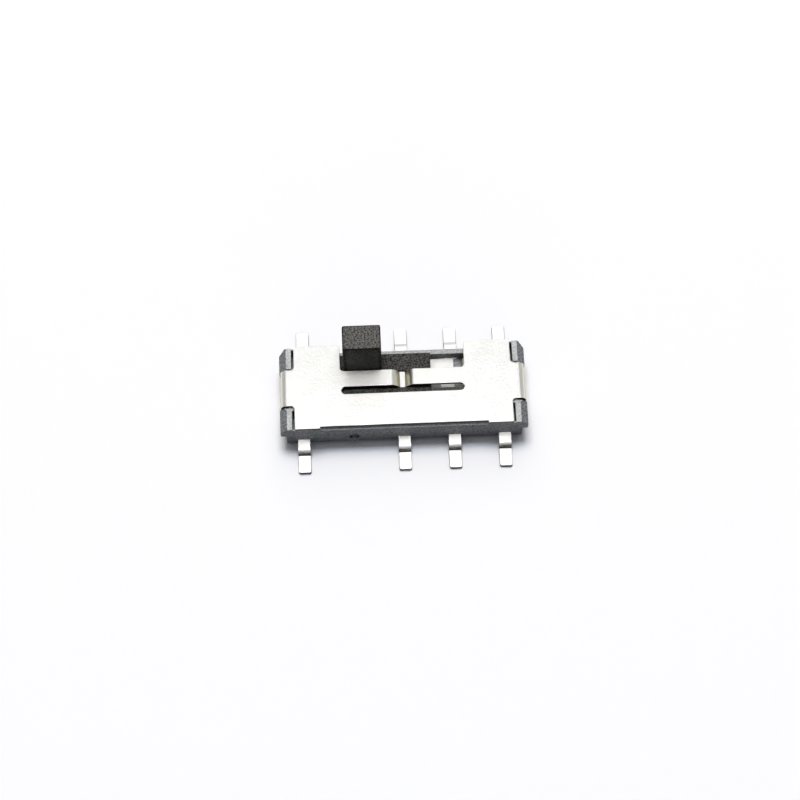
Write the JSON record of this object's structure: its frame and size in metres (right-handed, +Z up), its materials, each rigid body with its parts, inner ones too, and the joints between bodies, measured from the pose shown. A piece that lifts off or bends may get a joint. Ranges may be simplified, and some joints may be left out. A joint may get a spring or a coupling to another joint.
{
  "type": "slide switch",
  "caption": "Low surface mount slide switch: metal cover with a detent spring strip and notch, upright square knob at one long edge, solder feet front and rear.",
  "frame": {"origin": "middle of the solder feet's outline, on the plane that the feet stand on", "axes": "+X along the switch and its travel, towards the far positions; +Y towards the knob's edge; +Z up, out of the board"},
  "size_m": [0.0098, 0.006, 0.0036],
  "materials": {
    "moulded_base": "fine matt moulded, blue-grey",
    "cover_sheet": "bright plated sheet",
    "slider_moulding": "grainy matt moulded, dark brown-grey",
    "contact_spring": "rolled spring bronze",
    "terminal": "bright tin plated"
  },
  "bodies": {
    "base": {"housing": "moulded_base", "cover": "cover_sheet", "terminal_front_common": "terminal", "terminal_front_1": "terminal", "terminal_front_2": "terminal", "terminal_front_3": "terminal", "terminal_rear_common": "terminal", "terminal_rear_1": "terminal", "terminal_rear_2": "terminal", "terminal_rear_3": "terminal"},
    "slider": {"slider": "slider_moulding", "contact_clip_front": "contact_spring", "contact_clip_rear": "contact_spring"}
  },
  "joints": [
    {"name": "slider_travel", "type": "slide", "parent": "base", "child": "slider", "axis": [1, 0, 0], "range_m": [0, 0.00314]}
  ]
}
